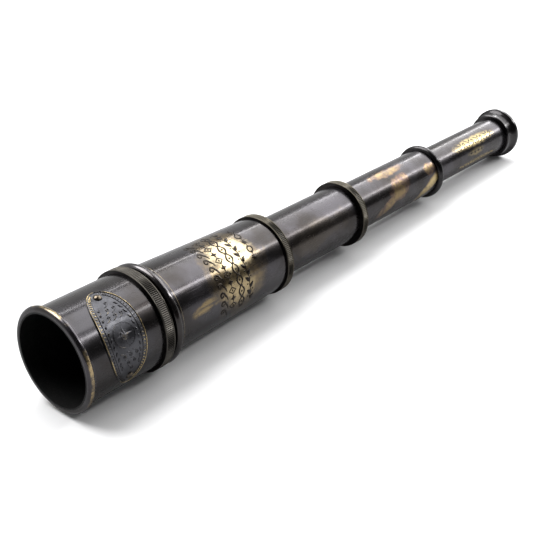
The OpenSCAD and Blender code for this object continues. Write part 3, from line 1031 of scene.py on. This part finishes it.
def draw_leaves():
    """The lower row: thirteen small leaves with dots."""
    lower = Relief()
    count = 13
    for k in range(count):
        cx = 1.8 + k * (MARKS_LENGTH - 3.6) / (count - 1)
        side = (-1) ** k
        lower.boss(leaf(cx, 0.4 * side, 3.2, 1.25, 0.6 * side), 1.0)
        lower.boss(circle(cx + 1.9, -0.9 * side, 0.42, 8), 1.0)
    return lower


def make_draw_rows():
    ink = relief_material("draw_marks_dark", draw_3.radius - 1.0, 0.5, SOOT, BROWN, 7.0)
    gold = relief_material("draw_marks_brass", draw_3.radius - 1.0, 0.5, (0.20, 0.15, 0.07),
                           (0.62, 0.48, 0.24), 5.0, share=1.0, blotch=1.6)
    draw_scrolls().lay("draw_3_scrolls", on_draw_row(DRAW_3_ROWS["large"]), ink, "draw_3", "dark_draw")
    draw_stars().lay("draw_3_stars", on_draw_row(DRAW_3_ROWS["short"]), ink, "draw_3", "dark_draw")
    draw_leaves().lay("draw_3_leaves", on_draw_row(DRAW_3_ROWS["lower"]), gold, "draw_3", "rubbed_brass")


# ---- Stage, lights and camera ----

# The telescope rests on its joint bead and on the eyecup's rim, so the floor tilts a little
CUP_RIM_WIDTH = 2
rest_length = cup.end - CUP_RIM_WIDTH - bead.middle
tilt = math.atan2(bead.radius - cup.radius, rest_length)
floor_normal = Vector((-math.sin(tilt), 0, math.cos(tilt)))
FLOOR_REACH = 6.0


def make_floor():
    """Pale matt floor. In reflections it is darker, as if shaded by black flags."""
    graph = Graph("floor_white")
    grain = graph.noise(40, 3.0, 0.5)
    pale = graph.blend(grain, (0.88, 0.88, 0.885), (0.91, 0.91, 0.913))
    reflected = graph.add("ShaderNodeLightPath").outputs["Is Glossy Ray"]
    shaded = (0.42, 0.42, 0.425)
    graph.shader.inputs["Specular IOR Level"].default_value = 0.0
    graph.finish(graph.blend(reflected, pale, shaded), 0.9, metallic=0.0)
    touch = Vector((bead.middle, 0, 0)) * MM - floor_normal * bead.radius * MM
    along = Vector((math.cos(tilt), 0, math.sin(tilt))) * FLOOR_REACH
    side = Vector((0, 1, 0)) * FLOOR_REACH
    corners = [touch + along * a + side * b for a, b in ((-1, -1), (1, -1), (1, 1), (-1, 1))]
    mesh = bpy.data.meshes.new("floor")
    mesh.from_pydata(corners, [], [(0, 1, 2, 3)])
    mesh.materials.append(graph.material)
    floor = bpy.data.objects.new("floor", mesh)
    bpy.context.scene.collection.objects.link(floor)


# Strength of the surroundings: to the camera, as light on the floor, and as the tubes mirror them
# towards the front and towards the back
ROOM_SEEN = 1.0
ROOM_LIGHT = 0.22
ROOM_FRONT = 0.05
ROOM_BACK = 0.70


def make_world():
    """White surroundings that look dark in reflections, and paler towards the back."""
    world = bpy.data.worlds.new("studio")
    bpy.context.scene.world = world
    world.use_nodes = True
    tree = world.node_tree
    tree.nodes.clear()
    path = tree.nodes.new("ShaderNodeLightPath")
    place = tree.nodes.new("ShaderNodeTexCoord")
    parts = tree.nodes.new("ShaderNodeSeparateXYZ")
    tree.links.new(place.outputs["Generated"], parts.inputs[0])
    mirrored_room = tree.nodes.new("ShaderNodeMapRange")
    mirrored_room.interpolation_type = "SMOOTHSTEP"
    tree.links.new(parts.outputs["Y"], mirrored_room.inputs["Value"])
    mirrored_room.inputs["From Min"].default_value = -0.1
    mirrored_room.inputs["From Max"].default_value = 0.75
    mirrored_room.inputs["To Min"].default_value = ROOM_FRONT
    mirrored_room.inputs["To Max"].default_value = ROOM_BACK
    unseen = tree.nodes.new("ShaderNodeMix")
    unseen.data_type = "FLOAT"
    tree.links.new(path.outputs["Is Glossy Ray"], unseen.inputs[MIX_FACTOR])
    unseen.inputs[FLOAT_A].default_value = ROOM_LIGHT
    tree.links.new(mirrored_room.outputs["Result"], unseen.inputs[FLOAT_B])
    strength = tree.nodes.new("ShaderNodeMix")
    strength.data_type = "FLOAT"
    tree.links.new(path.outputs["Is Camera Ray"], strength.inputs[MIX_FACTOR])
    tree.links.new(unseen.outputs[FLOAT_OUT], strength.inputs[FLOAT_A])
    strength.inputs[FLOAT_B].default_value = ROOM_SEEN
    shade = tree.nodes.new("ShaderNodeBackground")
    shade.inputs["Color"].default_value = (1.0, 1.0, 1.0, 1.0)
    tree.links.new(strength.outputs[FLOAT_OUT], shade.inputs["Strength"])
    output = tree.nodes.new("ShaderNodeOutputWorld")
    tree.links.new(shade.outputs[0], output.inputs["Surface"])


# The camera: degrees round and above its target, millimetres away, and its lens
CAMERA_AZIMUTH = -49.3
CAMERA_ELEVATION = 28
CAMERA_DISTANCE = 621
CAMERA_LENS = 64.2
TARGET = Vector((173, 0, -20))


def towards_camera():
    """Direction from the target to the camera."""
    azimuth, elevation = math.radians(CAMERA_AZIMUTH), math.radians(CAMERA_ELEVATION)
    level = math.cos(elevation)
    return Vector((math.sin(azimuth) * level, -math.cos(azimuth) * level, math.sin(elevation)))


def make_camera():
    data = bpy.data.cameras.new("camera")
    data.lens = CAMERA_LENS
    data.sensor_width = 36
    data.clip_start = 0.01
    data.clip_end = 50
    camera = bpy.data.objects.new("camera", data)
    bpy.context.scene.collection.objects.link(camera)
    back = towards_camera()
    camera.location = (TARGET + back * CAMERA_DISTANCE) * MM
    camera.rotation_euler = back.to_track_quat("Z", "Y").to_euler()
    bpy.context.scene.camera = camera


def mirrored(angle):
    """Direction in which the tube's surface at that angle reflects the camera's line of sight."""
    turn = math.radians(angle)
    normal = Vector((0, -math.cos(turn), math.sin(turn)))
    view = towards_camera()
    return (normal * 2 * normal.dot(view) - view).normalized()


# Soft panels, placed by the angles on the tubes that mirror them: name, lowest and highest angle and
# radiance. Each is square on to the telescope's middle.
PANELS = (
    ("panel_broad", 47, 80, 3.2),
    ("panel_edge", 42.5, 46, 12.0),
    ("panel_top", 81, 83, 11.0),
)
PANEL_DISTANCE = 1600
PANEL_LENGTH = 1600
telescope_middle = Vector(((rim.start + cup.end) / 2, 0, 0))


def make_panel(name, low, high, radiance):
    first, last = mirrored(low) * PANEL_DISTANCE, mirrored(high) * PANEL_DISTANCE
    centre = (first + last) / 2
    across = last - first
    back = centre.normalized()
    side = across.normalized()
    along = back.cross(side).normalized()
    data = bpy.data.lights.new(name, "AREA")
    data.shape = "RECTANGLE"
    data.size = PANEL_LENGTH * MM
    data.size_y = across.length * MM
    data.energy = radiance * math.pi * data.size * data.size_y
    obj = bpy.data.objects.new(name, data)
    bpy.context.scene.collection.objects.link(obj)
    turn = Matrix((along, side, along.cross(side))).transposed()
    if turn.col[2].dot(back) < 0:
        turn = Matrix((-along, side, (-along).cross(side))).transposed()
    obj.matrix_world = Matrix.Translation((telescope_middle + centre) * MM) @ turn.to_4x4()


# The key light: very soft, from above and behind, so that the shadow falls towards the front
SUN_FROM = Vector((-0.15, 0.52, 0.95))
SUN_STRENGTH = 3.65
SUN_WIDTH = math.radians(46)


def make_sun():
    data = bpy.data.lights.new("sun", "SUN")
    data.energy = SUN_STRENGTH
    data.angle = SUN_WIDTH
    obj = bpy.data.objects.new("sun", data)
    bpy.context.scene.collection.objects.link(obj)
    obj.rotation_euler = SUN_FROM.to_track_quat("Z", "Y").to_euler()


def make_lights():
    for name, low, high, radiance in PANELS:
        make_panel(name, low, high, radiance)
    make_sun()


dress_all()
make_badge()
make_barrel_rows()
make_draw_rows()
make_floor()
make_world()
make_camera()
make_lights()
bpy.context.scene.view_settings.view_transform = "Standard"
